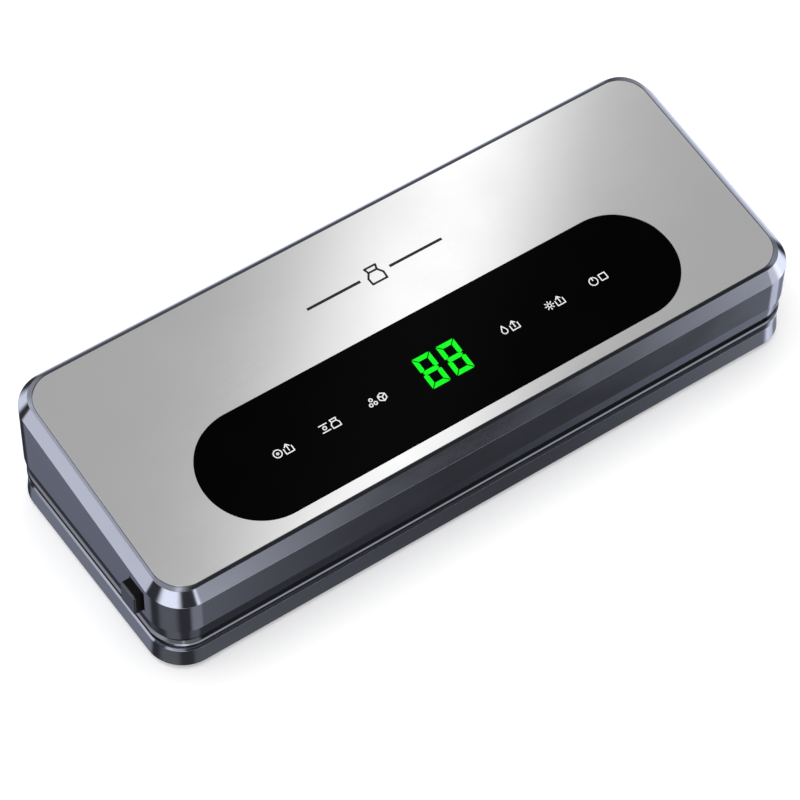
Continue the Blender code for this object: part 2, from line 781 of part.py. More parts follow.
def make_power_inlet(lid):
    """A two-pin appliance inlet, flush with the lid's rear wall."""
    x, z = INLET_X, INLET_Z
    inlet = box((x - 13.0, 52.0, z - 8.5), (x + 13.0, 67.8, z + 8.5))
    join(inlet, box((x - 10.0, 60.0, z - 6.0), (x + 10.0, 70.6, z + 6.0)))
    cut(inlet, box((x - 8.0, 58.0, z - 4.0), (x + 8.0, 75.0, z + 4.0)))
    for offset in (-4.3, 4.3):
        join(inlet, rod((x + offset, 57.0, z), (x + offset, 68.0, z), 1.15, 12))
    finish_part("power_inlet", inlet, "black_plastic", lid)


# ---------------------------------------------------------------- latch


def make_latch(lid, slide):
    """A side button whose arm reaches down to a hook, and the spring that pushes it out."""
    outer_face = -WIDTH / 2 - BUTTON_REACH
    front, rear = BUTTON_Y - BUTTON_LENGTH / 2, BUTTON_Y + BUTTON_LENGTH / 2
    bottom, top = BUTTON_Z - BUTTON_HEIGHT / 2, BUTTON_Z + BUTTON_HEIGHT / 2
    button = box((outer_face, front, bottom), (-181.0, rear, top))
    arm_front, arm_rear = BUTTON_Y - 2.85, BUTTON_Y + 2.85
    join(
        button,
        box((-181.9, BUTTON_Y - 7.6, 34.2), (-180.0, BUTTON_Y + 7.6, 50.1)),
        box((-180.5, arm_front, 36.5), (-173.3, arm_rear, 41.5)),
        box((-175.8, arm_front, 22.9), (-173.3, arm_rear, 41.0)),
        box((-178.3, arm_front, 22.9), (-175.0, arm_rear, 24.1)),
    )
    depth = 0.35
    for behind in (1.0, 2.1):
        groove_x = outer_face + behind
        around = box(
            (groove_x, front - 1.0, bottom - 1.0),
            (groove_x + 0.35, rear + 1.0, top + 1.0),
        )
        core = box(
            (groove_x - 0.5, front + depth, bottom + depth),
            (groove_x + 0.85, rear - depth, top - depth),
        )
        cut(button, cut(around, core))
    finish_part("latch_button", button, "black_plastic", slide)

    turns, per_turn, radius = 4, 9, 2.6
    start_x, length = -160.7, 12.0
    count = int(turns * per_turn)
    coil = []
    for i in range(count + 1):
        angle = 2 * math.pi * i / per_turn
        x = start_x - length * i / count
        coil.append((x, BUTTON_Y + radius * math.cos(angle), SPRING_Z + radius * math.sin(angle)))
    finish_part("latch_spring", wire(coil, 0.4), "steel", lid)


def centre_machine():
    """Move everything so that the origin is midway between the button's face and the right side."""
    for obj in bpy.data.objects:
        if obj.parent is None:
            obj.location.x += BUTTON_REACH / 2 * MM


def main():
    clear_scene()
    make_base_shell()
    make_base_trim()
    make_base_deck()
    make_base_seals()
    make_feet()
    make_case_screws()
    make_hinge_pins()
    make_latch_catch()

    lid = axis_empty("lid_hinge_axis", (0.0, HINGE_Y, HINGE_Z))
    motor_axis = axis_empty("motor_axis", (-76.0, MOTOR_Y, MOTOR_Z), lid)
    valve_axis = axis_empty("valve_axis", (VALVE_X, CHAMBER_Y, 38.0), lid)
    switch_axis = axis_empty("switch_axis", (SWITCH_X, SWITCH_Y, 30.0), lid)
    make_lid_frame(lid)
    make_top_plate(lid)
    make_control_panel(lid)
    make_lid_liner(lid)
    make_lid_seals(lid)
    make_liner_screws(lid)
    make_pump(lid, motor_axis)
    make_release_valve(lid, valve_axis)
    make_lid_switch(lid, switch_axis)
    make_electronics(lid)
    make_power_inlet(lid)
    make_latch(lid, axis_empty("latch_axis", (-WIDTH / 2, BUTTON_Y, BUTTON_Z), lid))
    centre_machine()


main()
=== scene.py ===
"""The countertop vacuum sealer, with its finishes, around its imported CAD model.

The outer housing, the control panel and the latch button are built here at full detail. Most other
CAD nodes get a copy with eased edges, and all of them get procedural finishes.
Lengths are written in millimetres and multiplied by MM where a mesh is made.
"""

import json
import math

import bmesh
import bpy
from mathutils import Matrix, Vector

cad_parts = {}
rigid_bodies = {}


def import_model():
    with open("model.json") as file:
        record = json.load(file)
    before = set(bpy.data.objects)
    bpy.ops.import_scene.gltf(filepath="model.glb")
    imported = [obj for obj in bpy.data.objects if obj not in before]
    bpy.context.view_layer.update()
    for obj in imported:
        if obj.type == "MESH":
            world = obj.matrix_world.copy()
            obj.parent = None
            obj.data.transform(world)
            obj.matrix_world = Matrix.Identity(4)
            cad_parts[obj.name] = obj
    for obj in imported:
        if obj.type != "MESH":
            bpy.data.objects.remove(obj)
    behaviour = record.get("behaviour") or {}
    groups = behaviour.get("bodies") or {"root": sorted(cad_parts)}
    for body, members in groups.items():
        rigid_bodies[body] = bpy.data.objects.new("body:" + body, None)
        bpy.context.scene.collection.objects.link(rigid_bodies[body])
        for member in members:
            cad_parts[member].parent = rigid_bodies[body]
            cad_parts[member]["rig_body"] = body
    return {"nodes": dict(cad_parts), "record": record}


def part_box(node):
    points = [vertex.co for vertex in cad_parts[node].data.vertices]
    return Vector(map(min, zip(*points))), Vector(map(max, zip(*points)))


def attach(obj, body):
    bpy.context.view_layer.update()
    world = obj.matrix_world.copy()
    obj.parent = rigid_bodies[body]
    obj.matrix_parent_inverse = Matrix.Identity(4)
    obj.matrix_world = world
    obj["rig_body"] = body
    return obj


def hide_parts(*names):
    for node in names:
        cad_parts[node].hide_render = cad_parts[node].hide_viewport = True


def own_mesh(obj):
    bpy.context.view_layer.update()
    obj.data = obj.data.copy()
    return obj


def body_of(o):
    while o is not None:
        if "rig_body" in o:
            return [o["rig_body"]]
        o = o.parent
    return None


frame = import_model()

MM = 0.001


# ---------------------------------------------------------------- measures


def box_mm(node):
    """Lowest and highest corner of a CAD node, in millimetres."""
    low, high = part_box(node)
    return low / MM, high / MM


LID_LOW, LID_HIGH = box_mm("lid_frame")
BASE_LOW, BASE_HIGH = box_mm("base_shell")
TRIM_LOW, TRIM_HIGH = box_mm("base_trim")
GLASS_LOW, GLASS_HIGH = box_mm("control_glass")
INLET_LOW, INLET_HIGH = box_mm("power_inlet")
BUTTON_LOW, BUTTON_HIGH = box_mm("latch_button")

BODY_X = (LID_LOW.x + LID_HIGH.x) / 2
HALF_WIDTH = (LID_HIGH.x - LID_LOW.x) / 2
HALF_DEPTH = LID_HIGH.y
CORNER_RADIUS = 19.3
CORNER_STEPS = 28
GAP = 0.3

# Lid frame section, as insets from the outer face: the upper edges lie on planes that rise to the rear
TILT = math.radians(7.74)
SLOPE = math.tan(TILT)
TAPER_INSET = 1.0
TAPER_HEIGHT = 7.75
CHAMFER_INSET = 5.0
CHAMFER_DROP = 6.6
LIP_INSET = 6.1
LIP_RADIUS = 15.3
LIP_DROP = 0.45
LIP_SLOPE = CHAMFER_INSET / CHAMFER_DROP
SHELF_INSET = 9.5
WALL = 2.6
PLATE_THICKNESS = 1.2
TOP_LEVEL = LID_HIGH.z - SLOPE * (HALF_DEPTH - CHAMFER_INSET)

# Control glass, in the plane of the plate: u to the right, v up the slope, n out of the plate
GLASS_RADIUS = 30.35
GLASS_U = (GLASS_LOW.x + GLASS_HIGH.x) / 2
GLASS_HALF_STRAIGHT = (GLASS_HIGH.x - GLASS_LOW.x) / 2 - GLASS_RADIUS
GLASS_V = -27.4
GLASS_THICKNESS = 3.0
GLASS_PROUD = 0.15
GLASS_EDGE_RADIUS = 0.3
GLASS_STEPS = 36

# Marks on the glass and the plate: their rows, and how far the print goes into and out of a surface
KEY_OFFSETS = (-92.0, -65.5, -38.5, 38.5, 65.5, 92.0)
KEY_V = GLASS_V - 0.4
KEY_LINE_WIDTH = 0.55
DIGITS_U = GLASS_U - 0.3
DIGIT_OFFSET = 7.0
DIGIT_WIDTH = 10.3
DIGIT_HEIGHT = 18.6
DIGIT_BAR = 2.55
DIGIT_GAP = 0.75
PLATE_MARK_V = 31.2
PRINT_DEPTH = 0.02

# Hinge notches: counted outwards from the middle of the body, and their y and z in the lid and the bead
HINGE_NOTCH_X = (111.2, 128.8)
LID_NOTCH = ((64.0, 75.0), (20.0, 25.6))
BEAD_NOTCH = ((64.0, 72.0), (18.9, 24.0))

# Height over which whatever stands on a circuit board is a package
BOARD_TOP = 34.8

# Opening for the power inlet: half its width and height, and its y
SOCKET_REACH = (10.3, 6.3)
SOCKET_Y = (66.0, 75.0)

# Wells for the case screws and holes for the feet: lowest and highest z, and radius
SCREW_WELL = (1.0, 4.4, 3.6)
FOOT_HOLE = (1.0, 5.5, 2.35)

# Latch button's cap, and the play round it in its window
BUTTON_LENGTH = 11.7
BUTTON_HEIGHT = 13.4
BUTTON_CORNER_RADIUS = 1.1
BUTTON_Z = 42.15
BUTTON_Y = (BUTTON_LOW.y + BUTTON_HIGH.y) / 2
PLAY = 0.4

# Angles in degrees over which shading breaks at an edge
CREASE = 35.0
GLASS_CREASE = 40.0
BEAD_CREASE = 50.0


# ---------------------------------------------------------------- mesh helpers


def object_from(bm, name):
    """An object in the scene with a bmesh as its mesh."""
    bmesh.ops.recalc_face_normals(bm, faces=bm.faces)
    mesh = bpy.data.meshes.new(name)
    bm.to_mesh(mesh)
    bm.free()
    made = bpy.data.objects.new(name, mesh)
    bpy.context.scene.collection.objects.link(made)
    return made


def arc_corner(before, corner, after, radius, steps):
    """Points that round one corner of an outline in the plane."""
    before, corner, after = Vector(before), Vector(corner), Vector(after)
    if radius <= 0:
        return [corner]
    inward, outward = before - corner, after - corner
    half_angle = inward.angle(outward) / 2
    reach = radius / math.tan(half_angle)
    reach = min(reach, 0.45 * inward.length, 0.45 * outward.length)
    start = corner + inward.normalized() * reach
    end = corner + outward.normalized() * reach
    points = []
    for step in range(steps + 1):
        t = step / steps
        points.append(start * (1 - t) ** 2 + corner * 2 * t * (1 - t) + end * t**2)
    return points


def rounded_section(corners, steps=4):
    """Points along an outline of (place, radius) corners, each of them rounded by its radius."""
    points = []
    for index, (corner, radius) in enumerate(corners):
        before = corners[index - 1][0]
        after = corners[(index + 1) % len(corners)][0]
        points += arc_corner(before, corner, after, radius, steps)
    return points


def outline_frames(half_x, half_y, radius, steps, centre):
    """Places on a rounded rectangle and the outward direction at each, anticlockwise."""
    frames = []
    for corner in range(4):
        sign_x = (1, -1, -1, 1)[corner]
        sign_y = (1, 1, -1, -1)[corner]
        middle = Vector((centre[0] + sign_x * (half_x - radius), centre[1] + sign_y * (half_y - radius)))
        for step in range(steps + 1):
            angle = math.pi / 2 * (corner + step / steps)
            outward = Vector((math.cos(angle), math.sin(angle)))
            frames.append((middle + outward * radius, outward))
    return frames


def skin(rows, closed_ring):
    """Faces through rows of points: each row is one section, and the rows go once round."""
    bm = bmesh.new()
    verts = [[bm.verts.new(Vector(point) * MM) for point in row] for row in rows]
    count = len(verts[0])
    for i, row in enumerate(verts):
        following = verts[(i + 1) % len(verts)]
        for j in range(count if closed_ring else count - 1):
            k = (j + 1) % count
            bm.faces.new((row[j], row[k], following[k], following[j]))
    if not closed_ring:
        bm.faces.new([row[0] for row in verts])
        bm.faces.new([row[-1] for row in reversed(verts)])
    return bm


def body_places(inset, radius=None):
    """Places round the body at an inset from its outer face, with the body's corner radius or another."""
    if radius is None:
        radius = CORNER_RADIUS - inset
    frames = outline_frames(HALF_WIDTH - inset, HALF_DEPTH - inset, radius, CORNER_STEPS, (BODY_X, 0.0))
    return [place for place, _ in frames]


def swept(name, section, steps=4, closed_ring=True):
    """A section of (inset, height, edge radius, corner radius) lines carried round the body.

    A height may be a function of y, and the corner radius may be left out. Where the section isn't
    closed, its first and last lines are capped.
    """
    rows = []
    lines = [body_places(inset, *own_radius) for inset, _, _, *own_radius in section]
    for places in zip(*lines):
        corners = []
        for place, (_, height, radius, *_) in zip(places, section):
            z = height(place.y) if callable(height) else height
            corners.append((Vector((*place, z)), radius))
        rows.append(rounded_section(corners, steps))
    return object_from(skin(rows, closed_ring), name)


def stadium_frames(radius):
    """The control glass's outline, as two half circles."""
    half_length = GLASS_HALF_STRAIGHT + radius
    # The corner radius stays just below the half height, so no two places meet
    return outline_frames(half_length, radius, radius - 0.001, GLASS_STEPS, (GLASS_U, GLASS_V))


def on_slope(level):
    """Height of the plane that is parallel to the plate and at this level over the body's middle."""
    return lambda y: level + SLOPE * y


def onto_panel(obj):
    """Turn and lift a mesh from panel coordinates onto the plane of the top plate."""
    lift = Matrix.Translation((0, 0, TOP_LEVEL * MM))
    obj.data.transform(lift @ Matrix.Rotation(TILT, 4, "X"))
    return obj


def block(low, high):
    """A plain box between two corners, for cutting."""
    low, high = Vector(low) * MM, Vector(high) * MM
    bm = bmesh.new()
    bmesh.ops.create_cube(bm, size=1.0)
    bmesh.ops.scale(bm, vec=high - low, verts=bm.verts)
    bmesh.ops.translate(bm, vec=(low + high) / 2, verts=bm.verts)
    return object_from(bm, "cutter")


def upright_rod(x, y, low, high, radius):
    """An upright cylinder, for cutting."""
    bm = bmesh.new()
    bmesh.ops.create_cone(
        bm,
        cap_ends=True,
        segments=48,
        radius1=radius * MM,
        radius2=radius * MM,
        depth=(high - low) * MM,
        matrix=Matrix.Translation(Vector((x, y, (low + high) / 2)) * MM),
    )
    return object_from(bm, "cutter")


def hinge_notches(y_range, z_range):
    """Cutters for the notches in which the two hinges sit."""
    notches = []
    for side in (-1, 1):
        low_x, high_x = sorted(BODY_X + side * x for x in HINGE_NOTCH_X)
        low = (low_x, y_range[0], z_range[0])
        high = (high_x, y_range[1], z_range[1])
        notches.append(block(low, high))
    return notches


def cut(obj, *cutters):
    """Take the cutters out of a mesh, and keep the result as its mesh."""
    for cutter in cutters:
        step = obj.modifiers.new("cut", "BOOLEAN")
        step.operation = "DIFFERENCE"
        step.solver = "EXACT"
        step.object = cutter
    evaluated = obj.evaluated_get(bpy.context.evaluated_depsgraph_get())
    mesh = bpy.data.meshes.new_from_object(evaluated)
    obj.modifiers.clear()
    obj.data = mesh
    for cutter in cutters:
        bpy.data.objects.remove(cutter, do_unlink=True)
    return obj


def smooth(obj, crease):
    """Smooth shading that keeps flat faces flat and edges over an angle sharp."""
    obj.data.shade_smooth()
    obj.data.set_sharp_from_angle(angle=math.radians(crease))
    weighted = obj.modifiers.new("flat_faces_stay_flat", "WEIGHTED_NORMAL")
    weighted.keep_sharp = True
    weighted.weight = 90
    return obj


def finish_piece(obj, material, body, nodes=()):
    """Give a piece its finish and body, and hide the given CAD nodes."""
    obj.data.name = obj.name
    obj.data.materials.clear()
    obj.data.materials.append(material)
    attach(obj, body)
    if nodes:
        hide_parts(*nodes)
    return obj


# ---------------------------------------------------------------- finishes


class Graph:
    """Shader nodes, added and linked one by one."""

    def __init__(self, tree):
        self.tree = tree

    def add(self, kind, inputs=(), **settings):
        """A new node, with its settings and what goes into its sockets."""
        node = self.tree.nodes.new(kind)
        for key, value in settings.items():
            setattr(node, key, value)
        for key, value in dict(inputs).items():
            self.feed(node.inputs[key], value)
        return node

    def feed(self, socket, value):
        """Link an output to a socket, or set the socket's value."""
        if isinstance(value, bpy.types.NodeSocket):
            self.tree.links.new(value, socket)
        else:
            socket.default_value = value

    def between(self, value, low, high, start=0.3, end=0.7, curve="LINEAR"):
        """A value's range from start to end spread over low to high."""
        node = self.add(
            "ShaderNodeMapRange",
            {"Value": value, "From Min": start, "From Max": end, "To Min": low, "To Max": high},
            interpolation_type=curve,
        )
        return node.outputs["Result"]

    def calculate(self, operation, first, second):
        """A sum, product or comparison of two values."""
        node = self.add("ShaderNodeMath", {0: first, 1: second}, operation=operation)
        return node.outputs[0]


class Finish(Graph):
    """A procedural material on the Principled shader."""

    def __init__(self, name, roughness=0.5, metallic=0.0):
        self.material = bpy.data.materials.new(name)
        self.material.use_nodes = True
        super().__init__(self.material.node_tree)
        self.shader = self.tree.nodes["Principled BSDF"]
        self.shader.inputs["Roughness"].default_value = roughness
        self.shader.inputs["Metallic"].default_value = metallic
        self.place = self.tree.nodes.new("ShaderNodeTexCoord").outputs["Object"]

    def stretched(self, scale):
        """Object coordinates scaled by an amount for each axis."""
        node = self.add("ShaderNodeMapping", {"Vector": self.place, "Scale": scale})
        return node.outputs["Vector"]

    def noise(self, size_mm, detail=3.0, stretch=(1.0, 1.0, 1.0), rough=0.55):
        """Noise from 0 to 1 with features of a size, drawn out where stretch is below 1."""
        scale = 1.0 / (size_mm * MM)
        vector = self.stretched([scale * s for s in stretch])
        node = self.add(
            "ShaderNodeTexNoise",
            {"Vector": vector, "Scale": 1.0, "Detail": detail, "Roughness": rough},
        )
        return node.outputs["Fac"]

    def cells(self, size_mm):
        """Distance from the middle of the nearest cell of a size."""
        scale = 1.0 / (size_mm * MM)
        node = self.add("ShaderNodeTexVoronoi", {"Vector": self.place, "Scale": scale})
        return node.outputs["Distance"]

    def blend(self, factor, first, second):
        """A colour between two colours."""
        node = self.add("ShaderNodeMix", data_type="RGBA")
        self.feed(node.inputs["Factor"], factor)
        colours = [s for s in node.inputs if s.type == "RGBA"]
        self.feed(colours[0], first if isinstance(first, bpy.types.NodeSocket) else (*first, 1.0))
        self.feed(colours[1], second if isinstance(second, bpy.types.NodeSocket) else (*second, 1.0))
        return next(s for s in node.outputs if s.type == "RGBA")

    def colour(self, value):
        """Set or link the base colour."""
        if not isinstance(value, bpy.types.NodeSocket):
            value = (*value, 1.0)
        self.feed(self.shader.inputs["Base Color"], value)

    def roughness(self, value):
        """Set or link the roughness."""
        self.feed(self.shader.inputs["Roughness"], value)

    def bump(self, height, depth_mm, strength):
        """Fine relief of a depth."""
        inputs = {"Height": height, "Distance": depth_mm * MM, "Strength": strength}
        node = self.add("ShaderNodeBump", inputs)
        self.feed(self.shader.inputs["Normal"], node.outputs["Normal"])

    def set(self, **values):
        """Set sockets of the shader: underscores in a name stand for spaces."""
        for key, value in values.items():
            self.shader.inputs[key.replace("_", " ")].default_value = value


def lacquered_metal(name, colour, roughness):
    """Metallic lacquer over a moulded housing: fine flake, faint waviness and handling marks."""
    made = Finish(name, metallic=1.0)
    flake = made.noise(0.35, 2.0)
    cloud = made.noise(60.0, 3.0)
    dark = [c * 0.97 for c in colour]
    light = [c * 1.03 for c in colour]
    tone = made.blend(made.between(flake, 0.0, 1.0, 0.4, 0.6), dark, light)
    made.colour(made.blend(made.between(cloud, 0.0, 0.25), tone, light))
    smear = made.noise(14.0, 5.0, (0.4, 1.0, 1.0))
    made.roughness(made.between(smear, roughness - 0.02, roughness + 0.03))
    made.bump(made.noise(3.0, 2.0), 0.001, 0.3)
    made.set(Specular_Tint=(0.78, 0.82, 0.98, 1.0))
    return made.material


def brushed_steel():
    """Stainless sheet with fine hairlines along its length."""
    made = Finish("brushed_steel", metallic=1.0)
    hair = made.noise(0.16, 3.0, (0.006, 1.0, 1.0), 0.7)
    broad = made.noise(2.4, 3.0, (0.02, 1.0, 1.0))
    tone = made.blend(made.between(hair, 0.0, 1.0), (0.765, 0.765, 0.765), (0.785, 0.785, 0.785))
    made.colour(made.blend(made.between(broad, 0.0, 0.35), tone, (0.775, 0.775, 0.775)))
    smudge = made.noise(45.0, 4.0)
    wear = made.calculate("ADD", made.between(smudge, 0.0, 0.02), made.between(hair, 0.09, 0.11))
    made.roughness(wear)
    return made.material


def black_glass():
    """Black glass with hardly any reflection of its own, and the faintest fingerprints."""
    made = Finish("black_glass")
    smudge = made.noise(22.0, 5.0)
    clean, smudged = (0.0004, 0.0004, 0.0005), (0.0007, 0.0007, 0.0008)
    made.colour(made.blend(made.between(smudge, 0.0, 1.0), clean, smudged))
    made.roughness(made.between(smudge, 0.04, 0.10))
    made.set(Specular_IOR_Level=0.02)
    return made.material


def lit_segment():
    """Green light through a diffuser, with a faint unevenness."""
    made = Finish("lit_segment", roughness=0.4)
    cell = made.noise(1.6, 2.0)
    green = made.blend(made.between(cell, 0.0, 1.0), (0.0, 0.92, 0.012), (0.01, 1.0, 0.02))
    made.colour((0.0, 0.02, 0.002))
    made.feed(made.shader.inputs["Emission Color"], green)
    made.set(Emission_Strength=1.05, Specular_IOR_Level=0.1)
    return made.material


def printed_ink(name, colour, painted_glow=0.0):
    """Screen-printed ink with a fine grain at its surface, and a painted glow of its own where one is
    given.
    """
    made = Finish(name, roughness=0.55)
    grain = made.noise(0.12, 2.0)
    thin = [c * 0.86 for c in colour]
    made.colour(made.blend(made.between(grain, 0.0, 1.0), thin, colour))
    made.bump(grain, 0.01, 0.4)
    # Painted glow: the ink shines of itself, brighter than the lamps make it
    made.set(Emission_Color=(*colour, 1.0), Emission_Strength=painted_glow)
    return made.material


def moulded_plastic(name, colour, roughness=0.42, grain_mm=0.45, depth_mm=0.02, shine=0.5):
    """Injection-moulded plastic with a spark-eroded grain and slightly shinier worn patches."""
    made = Finish(name)
    grain = made.cells(grain_mm)
    fine = made.noise(grain_mm * 0.6, 3.0)
    cloud = made.noise(35.0, 3.0)
    pale = [c * 1.25 + 0.001 for c in colour]
    made.colour(made.blend(made.between(cloud, 0.0, 1.0), colour, pale))
    made.roughness(made.between(cloud, roughness - 0.06, roughness + 0.06))
    made.bump(made.calculate("ADD", grain, fine), depth_mm, 0.5)
    made.set(Specular_IOR_Level=shine)
    return made.material


def soft_foam():
    """Closed-cell foam: small pits between skins, with painted shade darkening the pits."""
    made = Finish("gasket_foam", roughness=0.9)
    pits = made.cells(0.7)
    pit_shade, skin_tone = (0.012, 0.012, 0.013), (0.045, 0.045, 0.048)
    # Painted shade: the colour darkens towards the bottom of each pit, where the bump is lowest
    made.colour(made.blend(made.between(pits, 0.0, 1.0, 0.1, 0.6), pit_shade, skin_tone))
    made.bump(pits, 0.12, 0.7)
    made.set(Sheen_Weight=0.15)
    return made.material


def silicone():
    """Warm-coloured silicone with a dusty bloom."""
    made = Finish("silicone_strip")
    dust = made.noise(6.0, 5.0)
    made.colour(made.blend(made.between(dust, 0.0, 1.0), (0.36, 0.055, 0.04), (0.43, 0.10, 0.08)))
    made.roughness(made.between(dust, 0.42, 0.62))
    made.bump(made.noise(0.4, 3.0), 0.02, 0.4)
    made.set(Subsurface_Weight=0.1)
    return made.material


def rubber():
    """Dull rubber with scuffed, greyer patches."""
    made = Finish("foot_rubber", roughness=0.8)
    scuff = made.noise(3.0, 6.0)
    clean, scuffed = (0.014, 0.014, 0.014), (0.07, 0.068, 0.065)
    made.colour(made.blend(made.between(scuff, 0.0, 1.0, 0.45, 0.8), clean, scuffed))
    made.bump(made.noise(0.35, 4.0), 0.03, 0.6)
    return made.material


def turned_metal(name, colour, roughness=0.25, grain_mm=0.3):
    """Bare metal with fine machining grain and a faint tarnish."""
    made = Finish(name, metallic=1.0)
    grain = made.noise(grain_mm, 3.0)
    tarnish = made.noise(8.0, 4.0)
    dull = [c * 0.78 for c in colour]
    made.colour(made.blend(made.between(tarnish, 0.0, 0.5), colour, dull))
    made.roughness(made.between(tarnish, roughness, roughness + 0.14))
    made.bump(grain, 0.008, 0.4)
    return made.material


def wound_copper():
    """Enamelled copper wire, wound in fine turns across the axis, with painted shade in the grooves
    between turns.
    """
    made = Finish("rotor_copper", metallic=1.0)
    turns = made.add(
        "ShaderNodeTexWave",
        {"Vector": made.place, "Scale": 500.0, "Distortion": 0.4, "Detail": 1.0},
        wave_type="BANDS",
        bands_direction="X",
    ).outputs["Fac"]
    # Painted shade: the colour darkens where the turns' relief is low, between the wires
    made.colour(made.blend(turns, (0.35, 0.10, 0.035), (0.78, 0.34, 0.15)))
    made.roughness(made.between(turns, 0.45, 0.28, 0.0, 1.0))
    made.bump(turns, 0.1, 0.6)
    return made.material


def circuit_board(board_top_mm):
    """Green solder mask with tracks, and dark packages on all that stands above the board's top."""
    made = Finish("board_green")
    tracks = made.add(
        "ShaderNodeTexBrick",
        {
            "Vector": made.place,
            "Scale": 180.0,
            "Color1": (0.010, 0.10, 0.030, 1.0),
            "Color2": (0.014, 0.13, 0.040, 1.0),
            "Mortar": (0.03, 0.22, 0.08, 1.0),
            "Mortar Size": 0.04,
        },
    )
    height = made.add("ShaderNodeSeparateXYZ", {"Vector": made.place}).outputs["Z"]
    part = made.calculate("GREATER_THAN", height, board_top_mm * MM)
    tone = made.noise(9.0, 0.0)
    moulded, wound = (0.012, 0.012, 0.013), (0.05, 0.045, 0.012)
    package = made.blend(made.between(tone, 0.0, 1.0, 0.45, 0.55), moulded, wound)
    made.colour(made.blend(part, tracks.outputs["Color"], package))
    made.roughness(made.between(made.noise(4.0, 3.0), 0.3, 0.5))
    made.bump(tracks.outputs["Fac"], 0.05, 0.5)
    return made.material


def woven_tape():
    """Brown PTFE-coated glass cloth: a fine plain weave under a waxy coat, with painted shade in the
    weave's hollows.
    """
    made = Finish("tape_ptfe")
    waves = []
    for direction in ("X", "Y"):
        node = made.add(
            "ShaderNodeTexWave",
            {"Vector": made.place, "Scale": 420.0, "Distortion": 0.3},
            wave_type="BANDS",
            bands_direction=direction,
        )
        waves.append(node.outputs["Fac"])
    weave = made.calculate("MAXIMUM", *waves)
    # Painted shade: the colour darkens where the weave's relief is low
    made.colour(made.blend(weave, (0.20, 0.115, 0.055), (0.40, 0.27, 0.15)))
    made.roughness(made.between(weave, 0.5, 0.38, 0.0, 1.0))
    made.bump(weave, 0.05, 0.5)
    return made.material


def clear_hose():
    """Milky clear PVC."""
    made = Finish("hose_clear")
    haze = made.noise(5.0, 3.0)
    made.colour(made.blend(made.between(haze, 0.0, 1.0), (0.70, 0.73, 0.74), (0.80, 0.82, 0.82)))
    made.roughness(made.between(haze, 0.16, 0.3))
    made.set(Transmission_Weight=0.55, IOR=1.5)
    return made.material


def make_finishes():
    """One finish for each of the record's material slots."""
    button_black = (0.0015, 0.0015, 0.0016)
    return {
        "gunmetal_shell": lacquered_metal("gunmetal_shell", (0.425, 0.447, 0.54), 0.11),
        "dark_trim": lacquered_metal("dark_trim", (0.20, 0.205, 0.235), 0.09),
        "black_plastic": moulded_plastic("black_plastic", (0.016, 0.016, 0.017)),
        "black_button": moulded_plastic("black_button", button_black, 0.3, 0.3, 0.004, 0.15),
        "gasket_foam": soft_foam(),
        "silicone_strip": silicone(),
        "foot_rubber": rubber(),
        "screw_steel": turned_metal("screw_steel", (0.56, 0.56, 0.57)),
        "plate_steel": brushed_steel(),
        "panel_glass": black_glass(),
        "display_green": moulded_plastic("display_green", (0.01, 0.09, 0.02), 0.35),
        "board_green": circuit_board(BOARD_TOP),
        "grey_plastic": moulded_plastic("grey_plastic", (0.10, 0.10, 0.11), 0.45),
        "case_steel": turned_metal("case_steel", (0.50, 0.50, 0.51), 0.3, 0.6),
        "rotor_copper": wound_copper(),
        "plunger_brass": turned_metal("plunger_brass", (0.72, 0.50, 0.20)),
        "hose_clear": clear_hose(),
        "heater_nichrome": turned_metal("heater_nichrome", (0.40, 0.37, 0.35), 0.3),
        "tape_ptfe": woven_tape(),
    }


# ---------------------------------------------------------------- outer housing


def make_lid_frame(finishes):
    """The lid's metallic frame: tapered foot, upright wall, sloping chamfer and a thin lip."""
    low = LID_LOW.z
    shelf = TOP_LEVEL - PLATE_THICKNESS - GAP
    section = (
        (TAPER_INSET, low, 0.25),
        (0.0, low + TAPER_HEIGHT, 0.8),
        (0.0, on_slope(TOP_LEVEL - CHAMFER_DROP), 0.3),
        (CHAMFER_INSET - LIP_SLOPE * LIP_DROP, on_slope(TOP_LEVEL - LIP_DROP), 0.25),
        (LIP_INSET, on_slope(TOP_LEVEL), 0.12, LIP_RADIUS),
        (LIP_INSET, on_slope(shelf), 0.0, LIP_RADIUS),
        (SHELF_INSET, on_slope(shelf), 0.0),
        (SHELF_INSET, on_slope(TOP_LEVEL - 3.0), 0.3),
        (WALL, on_slope(TOP_LEVEL - CHAMFER_DROP - 1.2), 0.5),
        (WALL, low, 0.25),
    )
    made = swept("lid_housing", section)
    reach_y, reach_z = BUTTON_LENGTH / 2 + PLAY, BUTTON_HEIGHT / 2 + PLAY
    window_low = (LID_LOW.x - 3.0, BUTTON_Y - reach_y, BUTTON_Z - reach_z)
    window_high = (LID_LOW.x + 3.5, BUTTON_Y + reach_y, BUTTON_Z + reach_z)
    socket_x = (INLET_LOW.x + INLET_HIGH.x) / 2
    socket_z = (INLET_LOW.z + INLET_HIGH.z) / 2
    reach_x, reach_z = SOCKET_REACH
    socket_low = (socket_x - reach_x, SOCKET_Y[0], socket_z - reach_z)
    socket_high = (socket_x + reach_x, SOCKET_Y[1], socket_z + reach_z)
    cutters = hinge_notches(*LID_NOTCH)
    cutters.append(block(window_low, window_high))
    cutters.append(block(socket_low, socket_high))
    smooth(cut(made, *cutters), CREASE)
    finish_piece(made, finishes["gunmetal_shell"], "lid", ["lid_frame"])


